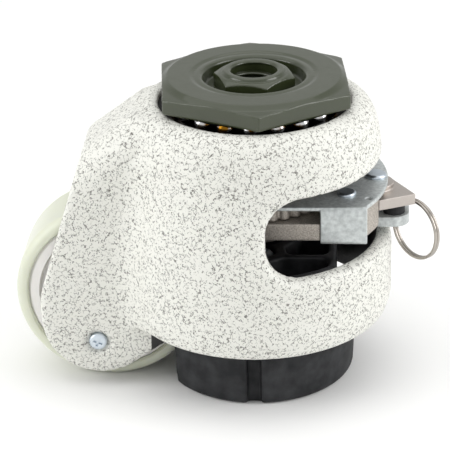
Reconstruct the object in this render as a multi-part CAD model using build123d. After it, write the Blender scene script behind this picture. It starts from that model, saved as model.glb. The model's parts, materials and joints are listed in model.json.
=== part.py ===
"""Levelling castor: a wheel and a jacking foot in one cast housing.

Frame: +Z up, floor at Z = 0, swivel axis on the Z axis. The wheel is on the
-X side and the ratchet lever on the +X side. Millimetres and degrees.
"""
from math import atan2, cos, degrees, hypot, pi, radians, sin, sqrt
import os

from build123d import *

# ---------------------------------------------------------------- driving sizes
# Wheel
WHEEL_R = 31.5            # rolling radius
TREAD_T = 4.3             # radial thickness of the cast tread
TREAD_W = 26.0
TREAD_ROUND = 3.2
TREAD_LIP = 0.6           # bevel at the tread's bore
CORE_W = 24.4
CORE_EDGE = 0.8           # bevel of the core's outer corners
DISH_DEPTH = 1.5          # moulded dish in the core's faces
DISH_LIP = 4.3            # solid margin inside and outside the dish
WHEEL_OFFSET = 50.4       # axle to swivel axis
AXLE_R = 6.0
AXLE_SEAT = 3.6           # depth of each axle seat in its cheek
AXLE_BEVEL = 0.6
SPACER_R = 9.0
SPACER_GAP = 0.05         # between the spacer and its cheek

# Wheel bearings
BEARING_R = 14.0
BEARING_W = 8.0
BEARING_WALL = 2.2
BEARING_BALL_R = 2.0
BEARING_BALLS = 7
BEARING_INSET = 1.0       # from the core's face to the bearing's face
BEARING_SHOULDER = 2.5
TRACK_GAP = 0.2           # between the balls and their tracks

# Top plate and kingpin, stacked down from the top
TOP_Z = 108.4             # overall height
COLLAR_H = 1.1            # round collar on the kingpin's head
COLLAR_R = 10.3
COLLAR_ROUND = 0.8
HEAD_H = 5.1              # kingpin's hexagon, over the well's floor
HEAD_AF = 24.0
HEAD_TURN = 15.0          # turned against the plate's hexagon
HEAD_BEVEL = 1.8
HEAD_STEP = 1.2           # flat round the collar
PLATE_DROP = 1.6          # plate's band under the kingpin's top
PLATE_T = 6.9
PLATE_EDGE_T = 5.3        # thickness at the hexagon's sides
PLATE_AF = 61.0
PLATE_TURN = 4.9          # angle of a corner from the -Y direction
PLATE_RIDGE_R = 29.8
PLATE_LIP = 0.5           # bevel under the hexagon's sides
EDGE_FALL = 0.4           # the hexagon's top falls outwards by this
EDGE_RISE = 0.3
RIDGE_STEP = 1.0          # foot of the round ridge, outside it
RIDGE_BEVEL = 0.7
DISH_OUT = 5.0            # dished rim of the well, outside the well
DISH_MID = 2.2
DISH_FALL = 0.8
WELL_R = 16.4
WELL_DRAFT = 0.5
WELL_LIP = 2.3
KINGPIN_R = 11.0
KINGPIN_GAP = 0.06        # running clearance in the housing's web
STEM_THREAD_R = 7.0       # M16 tapped hole, at the thread's crests
STEM_THREAD_DEPTH = 24.0
STEM_MOUTH = 1.2          # countersink of the tapped hole
LOCK_NUT_AF = 24.0
LOCK_NUT_H = 4.0
THRUST_R = 14.0
THRUST_T = 1.5

# Swivel race
RACE_BALL_R = 3.0
RACE_R = 26.5             # circle of the race's balls
RACE_BALLS = 20
RACE_DROP = 2.3           # ball centres under the plate's underside
RACE_SINK = 1.5           # depth of the upper race in the plate
RACE_DEPTH = 4.2          # ball centres over the lower race's seat
RACE_SPLIT = 0.6          # each race stops this far from the ball centres
LOWER_RACE_R = 31.8
UPPER_RACE_R = 29.2
RACE_BORE_R = 22.6
RACE_GAP = 0.15           # between the balls and the turning race
RACE_FIT = 0.2            # round the lower race in its seat
BALL_FIT = 0.02

# Housing drum
DRUM_R = 46.0
DRUM_FOOT_R = 44.6
DRUM_FOOT_Z = 22.9
KNUCKLE = 1.3             # chamfer at the drum's foot
SKIRT_LIFT = 6.0          # height above the foot where the skirt turns upright
SKIRT_H = 22.0            # height above the foot where the side starts to draw in
BELLY = 0.3               # swell of the side between skirt and shoulder
DRUM_BORE_R = 40.5
CEILING_ROUND = 4.0
WEB_T = 8.4               # web that carries the race and the spindle
RIM_GAP = 1.5             # between the drum's rim and the plate
RIM_R = 33.8
SHOULDER_H = 18.4         # height of the round shoulder under the rim
SHOULDER_R = 42.3
SHOULDER_LEAN = (-0.06, 1.0)   # direction of the side at the shoulder
RIM_LEAN = (-1.0, 0.12)   # direction of the crown at the rim
CROWN_IN = 2.3            # a point on the crown, inside the shoulder
CROWN_DROP = 5.2          # and under the rim

# Fork arm of the housing
CHEEK_OUT = 20.5          # half width over the cheeks
CHEEK_IN = 14.2           # half width between the cheeks
ARM_WALL = 4.5
ARM_ROUND = 11.0          # round shoulder of the arm's roof
ARM_BLEND = 12.0          # hollow blend from cheek to drum
HEEL_R = 21.2             # lower end of the arm, round the axle
HEEL_BACK = 1.2           # and outside it
HEEL_DROP = 1.5           # and below it
TOE_R = 19.5              # rounder part under the heel
TOE_BACK = 2.6
TOE_DROP = 6.7
KNEE_R = 10.2             # bend of the arm's back
KNEE_DROP = 21.3          # bend under the drum's rim
KNEE_OFFSET = 48.4        # bend to swivel axis
ARM_TOP_DROP = 1.8        # arm's highest line under the drum's rim
ARM_TOP_OFFSET = 39.0
ARM_ROOT_X = 22.0         # arm's inner end, hidden in the drum
ROOF_SLOPE = 36.3         # fall of the roof's crest
ROOF_OFFSET = 42.0        # a point on the crest, from the swivel axis
ROOF_DROP = 3.8           # and under the drum's rim
LIP_DROP = 7.6            # roof's lower lip under the bend
WHEEL_POCKET_X = 20.0     # front of the space for the wheel
KEEPER_BACK = 3.3         # keeper screw, behind and below the axle
KEEPER_DROP = 14.7
KEEPER_SINK = 2.0
KEEPER_SINK_R = 4.4
KEEPER_HOLE_R = 2.0
KEEPER_SCREW_R = 1.9
KEEPER_HEAD_R = 3.1
KEEPER_HEAD_H = 1.9
KEEPER_RECESS = 3.2       # span of the cross recess
KEEPER_BLOCK_H = 5.0      # keeper block below its screw
BLOCK_GAP = 0.1           # round the keeper blocks and the axle's ends

# Jack spindle, Tr 18 x 4, under the web
SPINDLE_R = 9.0
SPINDLE_Z0 = 24.0
SPINDLE_BEVEL = 1.2
FLANGE_R = 23.0
FLANGE_T = 4.0
CUP_R = 16.6
CUP_WALL = 2.0
CUP_FLOOR_T = 1.6
CUP_DEPTH = 8.2           # under the web
FLANGE_SCREW_R = 2.0
FLANGE_SCREW_HEAD_R = 3.8
FLANGE_SCREW_PITCH_R = 19.2
FLANGE_SCREW_LENGTH = 11.0
FLANGE_SOCKET = 1.2       # radius and depth of the socket
SCREW_END_GAP = 0.2

# Lever, hung below the web
COVER_DROP = 15.0         # cover's top under the web
COVER_T = 1.4
LEVER_H = 10.6            # sintered body with its chamber walls
LEVER_FLOOR = 6.0         # its floor
LEVER_HALF_W = 26.0
LEVER_INSET = 2.6         # its arc inside the drum's side
COVER_LAP = 1.1           # cover past the body's arc
COVER_HOLE_R = 17.8
WRAP_INSET = 8.6          # folded wrap's end inside the drum's side
WRAP_LENGTH = 15.3
WRAP_DROP = 1.4           # wrap under the body
WRAP_SEAT = 0.8
WRAP_LIP = 4.5
WRAP_BEND = 1.8
RELIEF_R = 1.1            # relief hole at the wrap's corner
RELIEF_IN = 7.6
PAWL_HALF_W = 13.2        # half width of the pawl's chamber
RIVET_IN = 6.8            # cover rivets inside the wrap's end
RIVET_Y = 15.0
RIVET_R = 1.6
RIVET_HEAD_R = 3.2
RIVET_HEAD_H = 1.2
RIVET_HEAD_ROUND = 0.9

# Lever window
WINDOW_X = 4.7            # its closed end
WINDOW_BELOW = 7.0        # under the lever
WINDOW_ABOVE = 7.8        # over the lever's cover
WINDOW_CORNER = 11.5
WINDOW_ROUND = 2.6        # its outer edge

# Ratchet nut
RUN_GAP = 0.05            # radial clearance of a running fit
HUB_R = 13.0
TAIL_R = 11.2
NUT_STEP = 7.2            # nut's shoulder under the lever
GEAR_R = 25.8             # over the lobes
GEAR_ROOT_R = 24.2
GEAR_LOBES = 36
LOBE_R = 2.0
GEAR_GAP = 0.4            # over the lever's floor
GEAR_T = 3.8
GEAR_CLEAR = 0.7          # round the lobes
CLIP_T = 1.0              # thickness of the retaining rings
CLIP_GAP = 0.2            # under what they hold
CLIP_GROOVE = 0.9
CLIP_W = 2.3

# Selector pawl
PIVOT_INSET = 3.0         # pivot inside the lever's arc
PIVOT_R = 2.5
PIVOT_HEAD_R = 3.6
PIVOT_BOSS_R = 6.0
SELECTOR_TILT = 6.0       # swing each way from neutral
SEAT_ANGLE = 20.0         # a seated nose, from the lever's line
SEAT_R = 25.8             # and from the swivel axis
NOSE_R = 0.7
FINGER_R = 2.0            # fingers at their root
FINGER_ROOT = 9.0         # root to pivot
SELECTOR_RISE = 4.6       # thumb wedge over the lever's underside
SELECTOR_T = 3.7
SELECTOR_GAP = 0.4        # over the lever's floor
THUMB = [(4.5, 8.4), (7.1, 3.9), (13.2, -6.6), (1.0, -12.1), (-1.6, -8.0), (-2.2, 5.0)]

# Ring lug and ring
LUG_OUT = 5.8             # lug past the drum's side
LUG_BACK = 7.4            # and behind the pivot
LUG_Y0 = -7.2
LUG_Y1 = 8.6
LUG_T = 1.5
LUG_DEPTH = 3.6
LUG_CORNER = 5.5
SLOT_BACK = 0.6           # lever's floor ends this far outside the pivot
EYE_IN = 3.5              # eye inside the lug's end
EYE_Y = 3.7
EYE_R = 2.1
BUMPER_IN = 5.2
BUMPER_Y = -2.0
BUMPER_R = 3.7
BUMPER_GAP = 0.5          # under the selector
RING_DROP = 6.3           # ring's centre under the lug
RING_TURN = -48.0         # direction of the ring's plane
RING_WIRE_R = 0.56
RING_LAY = 0.96           # turns side by side, as a share of the wire's radius
RING_R = 10.2             # wire centre

# Foot
FOOT_BODY_R = 39.6
FOOT_FLAT_X = 27.4        # flats in front and behind
FOOT_CORE_R = 28.5        # inside the rubber sole
FOOT_GAP = 0.8            # under the ratchet nut's shoulder
FOOT_FLOOR_Z = 7.0
FOOT_BEVEL = 0.8
FOOT_DECK = 4.0           # floor of the cored pockets over the sole
FOOT_POCKET_CORNER = 3.0
FOOT_POCKET_MIN = 100.0   # smaller gaps stay solid, mm2
FOOT_WALL = 2.6
FOOT_RIB = 2.4
FOOT_RIB_Y = 20.3
FOOT_HUB_R = 15.8
FOOT_CHAMBER_R = 13.7
FOOT_COLLAR = 8.0         # collar that hangs on the nut
NOTCH_X = -17.3           # flat back of the wheel notch
NOTCH_HALF_W = 18.6
SOLE_NOTCH = 0.6          # rubber set back behind the notch
BOSS_X = 2.4
BOSS_Y = 16.8
BOSS_R = 8.2
BOSS_SINK = 2.9
COUNTERBORE_GAP = 0.3
FOOT_SCREW_HEAD_R = 4.1
FOOT_SCREW_HEAD_H = 2.4
FOOT_SCREW_ROUND = 1.2
FOOT_SCREW_RECESS = 4.2
FOOT_SCREW_R = 2.0
SOLE_R0 = 33.0            # at the floor
SOLE_R1 = 34.2            # at its top
SOLE_TOP_Z = 26.0
SOLE_ROUND = 2.4
SOLE_CLEAR = 1.8          # between the sole and the fork arm
SOLE_PLATE_R = 27.0
SOLE_PLATE_T = 3.0

# Foot guide
KEY_W = 4.2
KEY_R = 30.7              # inner face of the guide ribs
KEY_RISE = 0.4            # guide ribs over the foot
KEY_GAP = 0.35
KEY_LIFT = 1.5            # guide ribs over the drum's foot

# ---------------------------------------------------------------- derived sizes
AXLE_X = -WHEEL_OFFSET
AXLE_Z = WHEEL_R
CORE_R = WHEEL_R - TREAD_T
AXLE_HALF = CHEEK_IN + AXLE_SEAT
BEARING_Y = CORE_W / 2 - BEARING_INSET - BEARING_W / 2
BALL_CIRCLE_R = (AXLE_R + BEARING_R) / 2
KEEPER_X = AXLE_X - KEEPER_BACK
KEEPER_Z = AXLE_Z - KEEPER_DROP

HEAD_Z = TOP_Z - COLLAR_H
WELL_FLOOR_Z = HEAD_Z - HEAD_H
PLATE_Z1 = TOP_Z - PLATE_DROP
PLATE_Z0 = PLATE_Z1 - PLATE_T
PLATE_EDGE_Z = PLATE_Z0 + PLATE_EDGE_T
RACE_BALL_Z = PLATE_Z0 - RACE_DROP
RACE_TOP_Z = PLATE_Z0 + RACE_SINK
RACE_SEAT_Z = RACE_BALL_Z - RACE_DEPTH
RIM_Z = PLATE_Z0 - RIM_GAP
SHOULDER_Z = RIM_Z - SHOULDER_H
CEILING_Z = RACE_SEAT_Z - WEB_T
THRUST_Z0 = CEILING_Z - THRUST_T
LOCK_NUT_Z0 = THRUST_Z0 - LOCK_NUT_H
ROOF_Z = RIM_Z - ROOF_DROP
KNEE_Z = RIM_Z - KNEE_DROP

FLANGE_Z0 = CEILING_Z - FLANGE_T
CUP_Z0 = CEILING_Z - CUP_DEPTH
COVER_Z1 = CEILING_Z - COVER_DROP
COVER_Z0 = COVER_Z1 - COVER_T
LEVER_Z0 = COVER_Z0 - LEVER_H
LEVER_Z1 = LEVER_Z0 + LEVER_FLOOR
LEVER_ARC_R = DRUM_R - LEVER_INSET
WRAP_X1 = DRUM_R - WRAP_INSET
WRAP_X0 = WRAP_X1 - WRAP_LENGTH
WRAP_Z0 = LEVER_Z0 - WRAP_DROP
RIVET_X = WRAP_X1 - RIVET_IN
WINDOW_Z0 = LEVER_Z0 - WINDOW_BELOW
WINDOW_Z1 = COVER_Z1 + WINDOW_ABOVE
GEAR_Z0 = LEVER_Z1 + GEAR_GAP
GEAR_Z1 = GEAR_Z0 + GEAR_T
SELECTOR_Z0 = LEVER_Z0 + SELECTOR_RISE
SELECTOR_Z1 = SELECTOR_Z0 + SELECTOR_T
PIVOT_X = LEVER_ARC_R - PIVOT_INSET
SEAT_REACH = PIVOT_X - SEAT_R * cos(radians(SEAT_ANGLE))
SEAT_SIDE = SEAT_R * sin(radians(SEAT_ANGLE))
NOSE_ARM = hypot(SEAT_REACH, SEAT_SIDE)
NOSE_ANGLE = degrees(atan2(SEAT_SIDE, SEAT_REACH)) + SELECTOR_TILT

LUG_X0 = PIVOT_X - LUG_BACK
LUG_X1 = DRUM_R + LUG_OUT
EYE_X = LUG_X1 - EYE_IN
BUMPER_X = LUG_X1 - BUMPER_IN
LUG_Z1 = LEVER_Z0
LUG_Z0 = LUG_Z1 - LUG_DEPTH
RING_Z = LUG_Z1 - RING_DROP
RING_REACH = sqrt(RING_R ** 2 - (LUG_Z1 - LUG_T / 2 - RING_Z) ** 2)

NUT_STEP_Z = LEVER_Z0 - NUT_STEP
FOOT_TOP_Z = NUT_STEP_Z - FOOT_GAP
FOOT_COLLAR_Z = FOOT_TOP_Z - FOOT_COLLAR
CLIP_Z = LEVER_Z0 - CLIP_T - CLIP_GAP
TAIL_CLIP_Z = FOOT_COLLAR_Z - CLIP_T - CLIP_GAP
TAIL_Z = TAIL_CLIP_Z - 2 * CLIP_GAP
BOSS_SEAT_Z = FOOT_TOP_Z - BOSS_SINK
POCKET_Z = SOLE_TOP_Z + FOOT_DECK
GROOVE_R = KEY_R - KEY_GAP
GROOVE_W = KEY_W + 2 * KEY_GAP
FAR = 150.0               # well past the castor on any side
COLUMN_END = 20.0         # blending column, below the floor
COLUMN_RISE = 50.0        # and above the shoulder


# ---------------------------------------------------------------- shared shapes
def disc(radius, z0, z1, x=0.0, y=0.0):
    """Upright solid cylinder between two heights."""
    return Pos(x, y, z0) * Cylinder(radius, z1 - z0, align=(Align.CENTER, Align.CENTER, Align.MIN))


def ring(r_out, r_in, z0, z1, x=0.0, y=0.0):
    """Upright tube between two heights."""
    return disc(r_out, z0, z1, x, y) - disc(r_in, z0 - 1, z1 + 1, x, y)


def hole(radius, x=0.0, y=0.0):
    """Upright cutter that goes right through the castor."""
    return disc(radius, -FAR, FAR, x, y)


def block(x0, x1, y0, y1, z0, z1):
    """Box between two corners."""
    centre = ((x0 + x1) / 2, (y0 + y1) / 2, (z0 + z1) / 2)
    return Pos(*centre) * Box(x1 - x0, y1 - y0, z1 - z0)


def cross_disc(radius, y0, y1, x, z):
    """Solid cylinder along Y."""
    return Pos(x, (y0 + y1) / 2, z) * Rot(90, 0, 0) * Cylinder(radius, y1 - y0)


def turned(points):
    """Solid of revolution about Z from (radius, height) points."""
    return revolve(Plane.XZ * make_face(Polyline(*points, close=True)), Axis.Z)


def turned_wheel(points):
    """Solid of revolution about the axle from (radius, Y) points."""
    solid = revolve(Plane.XY * make_face(Polyline(*points, close=True)), Axis.Y)
    return Pos(AXLE_X, 0, AXLE_Z) * solid


def prism(sketch, z0, z1):
    """Extrusion of a plan sketch between two heights."""
    return extrude(Plane.XY.offset(z0) * sketch, amount=z1 - z0, dir=(0, 0, 1))


def side_prism(sketch, y0, y1):
    """Extrusion of an X-Z sketch between two Y planes."""
    return extrude(Plane.XZ.offset(-y1) * sketch, amount=y1 - y0, dir=(0, -1, 0))


def hexagon(across_flats, turn=0.0):
    """Regular hexagon by its width across flats."""
    return Rot(0, 0, turn) * RegularPolygon(across_flats / 2, 6, major_radius=False)


def corner_r(across_flats):
    """Radius over a hexagon's corners."""
    return across_flats / 2 / cos(pi / 6)


def around(shape, count, start=0.0):
    """Copies of a shape evenly round the Z axis."""
    return [Rot(0, 0, start + 360.0 / count * i) * shape for i in range(count)]


def mirrored(shape):
    """The shape's copy on the other side of the X-Z plane."""
    return mirror(shape, about=Plane.XZ)


# ---------------------------------------------------------------- housing
def drum_side():
    """The drum's side from the skirt to the start of the shoulder."""
    low = (DRUM_R, DRUM_FOOT_Z + SKIRT_LIFT)
    high = (DRUM_R, DRUM_FOOT_Z + SKIRT_H)
    belly = ((DRUM_R + SHOULDER_R) / 2 + BELLY, (high[1] + SHOULDER_Z) / 2)
    return low, high, Spline(high, belly, (SHOULDER_R, SHOULDER_Z), tangents=((0, 1), SHOULDER_LEAN))


def drum_column():
    """The drum's side drawn out above and below, for the blends."""
    low, high, side = drum_side()
    draft = (DRUM_R - DRUM_FOOT_R) / SKIRT_LIFT
    foot = (DRUM_R - draft * (low[1] + COLUMN_END), -COLUMN_END)
    top = (SHOULDER_R + SHOULDER_LEAN[0] * COLUMN_RISE, SHOULDER_Z + COLUMN_RISE)
    profile = Polyline((0, -COLUMN_END), foot, low, high) + side
    profile += Polyline((SHOULDER_R, SHOULDER_Z), top, (0, top[1]), (0, -COLUMN_END))
    return revolve(Plane.XZ * make_face(profile), Axis.Z)


def drum():
    """Outer form of the drum, turned, with a full round shoulder."""
    low, high, side = drum_side()
    rim = (RIM_R, RIM_Z)
    profile = Polyline((0, DRUM_FOOT_Z), (DRUM_FOOT_R - KNUCKLE, DRUM_FOOT_Z),
                       (DRUM_FOOT_R, DRUM_FOOT_Z + KNUCKLE), low, high) + side
    profile += Spline((SHOULDER_R, SHOULDER_Z), (SHOULDER_R - CROWN_IN, RIM_Z - CROWN_DROP), rim,
                      tangents=(SHOULDER_LEAN, RIM_LEAN))
    profile += Polyline(rim, (0, RIM_Z), (0, DRUM_FOOT_Z))
    return revolve(Plane.XZ * make_face(profile), Axis.Z)


def arm_outline(inset):
    """Side outline of the fork arm, drawn in by a wall thickness."""
    heel = Pos(AXLE_X - HEEL_BACK, AXLE_Z - HEEL_DROP) * Circle(HEEL_R - inset)
    toe = Pos(AXLE_X - TOE_BACK, AXLE_Z - TOE_DROP) * Circle(TOE_R - inset)
    knee = Pos(-KNEE_OFFSET, KNEE_Z) * Circle(KNEE_R - inset)
    top = RIM_Z - ARM_TOP_DROP - inset
    root = Polyline((inset / 2 - ARM_TOP_OFFSET, top), (-ARM_ROOT_X, top), (-ARM_ROOT_X, DRUM_FOOT_Z))
    return make_hull(heel.edges() + toe.edges() + knee.edges() + root.edges())


def under_roof(width, drop, corner=0.0):
    """Everything below the roof's slope, lowered by a drop."""
    slope = radians(ROOF_SLOPE)
    section = Plane(origin=(-ROOF_OFFSET, 0, ROOF_Z), x_dir=(0, 1, 0), z_dir=(-cos(slope), 0, -sin(slope)))
    plan = RectangleRounded(width, FAR, corner) if corner else Rectangle(width, FAR)
    return extrude(section * Pos(0, FAR / 2 + drop) * plan, amount=FAR / 2, both=True)


def fork_arm():
    """Both cheeks and the roof over the wheel, before it is hollowed."""
    return side_prism(arm_outline(0), -CHEEK_OUT, CHEEK_OUT) & under_roof(2 * CHEEK_OUT, 0, ARM_ROUND)


def arm_blends():
    """Hollow blends where the cheeks run into the drum."""
    both = drum_column() + block(-FAR, -10, -CHEEK_OUT, CHEEK_OUT, -COLUMN_END, FAR)
    crease = [e for e in both.edges() if e.length > ARM_BLEND and abs(abs(e.center().Y) - CHEEK_OUT) < 0.5
              and -DRUM_R < e.center().X < -DRUM_R / 2 and abs(e.tangent_at(0.5).Z) > 0.5]
    both = fillet(crease, ARM_BLEND)
    outer = DRUM_R + ARM_BLEND
    centre_y = CHEEK_OUT + ARM_BLEND
    centre_x = sqrt(outer ** 2 - centre_y ** 2)
    near = block(-centre_x - 1, 1.5 * ARM_BLEND - centre_x, CHEEK_OUT - ARM_WALL,
                 centre_y * DRUM_R / outer + 1, DRUM_FOOT_Z, RIM_Z)
    return both & under_roof(2 * DRUM_R, ARM_ROUND) & (near + mirrored(near))


def wheel_pocket():
    """Space between the cheeks, under the roof and open at the back and below."""
    hood = side_prism(arm_outline(ARM_WALL), -CHEEK_IN, CHEEK_IN)
    hood &= block(-FAR, 0, -CHEEK_IN, CHEEK_IN, 0, CEILING_Z)
    return hood + block(-FAR, -WHEEL_POCKET_X, -CHEEK_IN, CHEEK_IN, -1, KNEE_Z - LIP_DROP)


def axle_seats():
    """Blind seats for the axle's ends, open downwards for fitting."""
    seat = cross_disc(AXLE_R, CHEEK_IN - 1, AXLE_HALF, AXLE_X, AXLE_Z)
    seat += block(AXLE_X - AXLE_R, AXLE_X + AXLE_R, CHEEK_IN - 1, AXLE_HALF, -1, AXLE_Z)
    return seat + mirrored(seat)


def keeper_holes():
    """Counterbored hole for the keeper screw in each cheek."""
    cut = cross_disc(KEEPER_SINK_R, CHEEK_OUT - KEEPER_SINK, CHEEK_OUT + 1, KEEPER_X, KEEPER_Z)
    cut += cross_disc(KEEPER_HOLE_R, CHEEK_IN - 1, CHEEK_OUT, KEEPER_X, KEEPER_Z)
    return cut + mirrored(cut)


def window_cut():
    """Lever window, cut straight through from side to side."""
    outline = RectangleRounded(FAR, WINDOW_Z1 - WINDOW_Z0, WINDOW_CORNER)
    return side_prism(Pos(WINDOW_X + FAR / 2, (WINDOW_Z0 + WINDOW_Z1) / 2) * outline, -FAR, FAR)


def round_window(body):
    """The solid body with its window cut and the outer edge rounded."""
    body -= window_cut()
    middle, half = (WINDOW_Z0 + WINDOW_Z1) / 2, (WINDOW_Z1 - WINDOW_Z0) / 2
    edges = [e for e in body.edges() if e.center().X > 0 and abs(e.center().Z - middle) < half + 0.5]
    return fillet(edges, WINDOW_ROUND)


def guide_ribs():
    """Two upright ribs in the drum that key the foot."""
    rib = block(-KEY_W / 2, KEY_W / 2, KEY_R, DRUM_BORE_R + 1,
                DRUM_FOOT_Z + KEY_LIFT, FOOT_TOP_Z + KEY_RISE)
    return rib + mirrored(rib)


def housing():
    """Die-cast housing: drum, fork arm, window, web and guide ribs."""
    body = round_window(drum() + fork_arm() + arm_blends())
    cavity = disc(DRUM_BORE_R, 0, CEILING_Z)
    cavity = fillet(cavity.edges().sort_by(Axis.Z)[-1], CEILING_ROUND)
    body -= cavity & disc(FAR, DRUM_FOOT_Z - 1, CEILING_Z)
    body -= disc(SOLE_R1 + SOLE_CLEAR, -1, DRUM_FOOT_Z)
    body += guide_ribs()
    body -= wheel_pocket()
    body -= axle_seats()
    body -= keeper_holes()
    body -= disc(LOWER_RACE_R + RACE_FIT, RACE_SEAT_Z, FAR)
    body -= disc(KINGPIN_R + KINGPIN_GAP, CUP_Z0, FAR)
    for x, y in flange_screw_places():
        body -= disc(FLANGE_SCREW_R, CEILING_Z - 1, FLANGE_Z0 + FLANGE_SCREW_LENGTH + SCREW_END_GAP, x, y)
    return body


def flange_screw_places():
    """Plan places of the four spindle flange screws."""
    return [(FLANGE_SCREW_PITCH_R * cos(radians(a)), FLANGE_SCREW_PITCH_R * sin(radians(a)))
            for a in (45, 135, 225, 315)]


# ---------------------------------------------------------------- axle and wheel
def axle():
    """Plain steel axle, bevelled at both ends."""
    half = AXLE_HALF - BLOCK_GAP
    pin = cross_disc(AXLE_R - RUN_GAP, -half, half, AXLE_X, AXLE_Z)
    return chamfer(pin.edges().filter_by(GeomType.CIRCLE), AXLE_BEVEL)


def axle_keeper():
    """Block that closes the near axle seat under the axle."""
    half = AXLE_R - BLOCK_GAP
    keeper = block(AXLE_X - half, AXLE_X + half, BLOCK_GAP - AXLE_HALF, -BLOCK_GAP - CHEEK_IN,
                   KEEPER_Z - KEEPER_BLOCK_H, AXLE_Z)
    keeper -= cross_disc(AXLE_R + RUN_GAP, -FAR, FAR, AXLE_X, AXLE_Z)
    return keeper - cross_disc(KEEPER_SCREW_R, -FAR, FAR, KEEPER_X, KEEPER_Z)


def keeper_screw():
    """Cross-recessed pan head screw that holds the near keeper block."""
    seat = KEEPER_SINK - CHEEK_OUT
    head = cross_disc(KEEPER_HEAD_R, seat - KEEPER_HEAD_H, seat, KEEPER_X, KEEPER_Z)
    head = fillet(head.faces().sort_by(Axis.Y)[0].edges(), KEEPER_HEAD_H / 2)
    shank = cross_disc(KEEPER_SCREW_R, seat, -CHEEK_IN - 2 * BLOCK_GAP, KEEPER_X, KEEPER_Z)
    recess = Rot(0, 20, 0) * Rot(90, 0, 0) * cross_recess(KEEPER_RECESS)
    return head + shank - Pos(KEEPER_X, seat - KEEPER_HEAD_H, KEEPER_Z) * recess


def cross_recess(span):
    """Upright cross-recess cutter, centred on the head's top."""
    arm = Box(span, span / 4, span / 2)
    return arm + Rot(0, 0, 90) * arm


def axle_spacer():
    """Washer between the near bearing and its cheek."""
    spacer = cross_disc(SPACER_R, SPACER_GAP - CHEEK_IN, -BEARING_Y - BEARING_W / 2, AXLE_X, AXLE_Z)
    return spacer - cross_disc(AXLE_R, -FAR, FAR, AXLE_X, AXLE_Z)


def wheel_core():
    """Moulded core with a bearing seat in each face and a web between."""
    half = CORE_W / 2
    seat = BEARING_Y - BEARING_W / 2
    shoulder = BEARING_R - BEARING_SHOULDER
    core = turned_wheel([
        (shoulder, -seat), (BEARING_R, -seat), (BEARING_R, -half), (CORE_R - CORE_EDGE, -half),
        (CORE_R, CORE_EDGE - half), (CORE_R, half - CORE_EDGE), (CORE_R - CORE_EDGE, half),
        (BEARING_R, half), (BEARING_R, seat), (shoulder, seat)])
    floor = BEARING_INSET + DISH_DEPTH - half
    dish = turned_wheel([(BEARING_R + DISH_LIP - 1, -half - 1), (BEARING_R + DISH_LIP, floor),
                         (CORE_R - DISH_LIP, floor), (CORE_R - DISH_LIP + 1, -half - 1)])
    return core - dish - mirrored(dish)


def wheel_tread():
    """Cast elastomer tread, thick at the crown and round at both edges."""
    half = TREAD_W / 2
    band = turned_wheel([(CORE_R, -half), (WHEEL_R, -half), (WHEEL_R, half), (CORE_R, half)])
    rims = [e for e in band.edges().filter_by(GeomType.CIRCLE) if e.radius > WHEEL_R - 0.01]
    band = fillet(rims, TREAD_ROUND)
    bore = [e for e in band.edges().filter_by(GeomType.CIRCLE) if e.radius < CORE_R + 0.01]
    return chamfer(bore, TREAD_LIP)


def bearing_outer():
    """Outer ring of the near wheel bearing, with its ball track."""
    return bearing_ring(BEARING_R, BEARING_R - BEARING_WALL)


def bearing_inner():
    """Inner ring of the near wheel bearing, with its ball track."""
    return bearing_ring(AXLE_R + BEARING_WALL, AXLE_R)


def bearing_ring(r_out, r_in):
    """Ring of the near wheel bearing between two radii."""
    half = BEARING_W / 2
    race = cross_disc(r_out, -BEARING_Y - half, half - BEARING_Y, AXLE_X, AXLE_Z)
    race -= cross_disc(r_in, -FAR, FAR, AXLE_X, AXLE_Z)
    track = Rot(90, 0, 0) * Torus(BALL_CIRCLE_R, BEARING_BALL_R + TRACK_GAP)
    return race - Pos(AXLE_X, -BEARING_Y, AXLE_Z) * track


def bearing_balls():
    """Ball sets of both wheel bearings."""
    balls = []
    for side in (-1, 1):
        for i in range(BEARING_BALLS):
            a = 2 * pi * i / BEARING_BALLS
            place = Pos(AXLE_X + BALL_CIRCLE_R * cos(a), side * BEARING_Y, AXLE_Z + BALL_CIRCLE_R * sin(a))
            balls.append(place * Sphere(BEARING_BALL_R))
    return balls


# ---------------------------------------------------------------- top plate and swivel
def hex_plate():
    """Forged hexagon plate with a ridged dished top and a race seat below."""
    corner = corner_r(PLATE_AF) + 1
    plate = prism(hexagon(PLATE_AF, PLATE_TURN - 90), PLATE_Z0, PLATE_Z1)
    plate &= turned([
        (0, PLATE_Z0), (corner, PLATE_Z0), (corner, PLATE_EDGE_Z - EDGE_FALL),
        (PLATE_RIDGE_R + RIDGE_STEP, PLATE_EDGE_Z + EDGE_RISE), (PLATE_RIDGE_R, PLATE_Z1 - RIDGE_BEVEL),
        (PLATE_RIDGE_R - RIDGE_STEP, PLATE_Z1), (WELL_R + DISH_OUT, PLATE_Z1),
        (WELL_R + DISH_MID, PLATE_Z1 - DISH_FALL), (WELL_R + WELL_DRAFT, PLATE_Z1 - WELL_LIP),
        (WELL_R, WELL_FLOOR_Z), (0, WELL_FLOOR_Z)])
    plate -= disc(UPPER_RACE_R, PLATE_Z0 - 1, RACE_TOP_Z)
    plate -= hole(KINGPIN_R)
    lower = [e for e in plate.edges()
             if abs(e.center().Z - PLATE_Z0) < 0.01 and e.geom_type == GeomType.LINE]
    return chamfer(lower, PLATE_LIP)


def upper_race():
    """Hardened ring under the plate, with the upper ball track."""
    race = ring(UPPER_RACE_R, RACE_BORE_R, RACE_BALL_Z + RACE_SPLIT, RACE_TOP_Z)
    return race - Pos(0, 0, RACE_BALL_Z) * Torus(RACE_R, RACE_BALL_R + RACE_GAP)


def lower_race():
    """Hardened ring in the housing's top, with the lower ball track."""
    race = ring(LOWER_RACE_R, RACE_BORE_R, RACE_SEAT_Z, RACE_BALL_Z - RACE_SPLIT)
    return race - Pos(0, 0, RACE_BALL_Z) * Torus(RACE_R, RACE_BALL_R)


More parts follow.
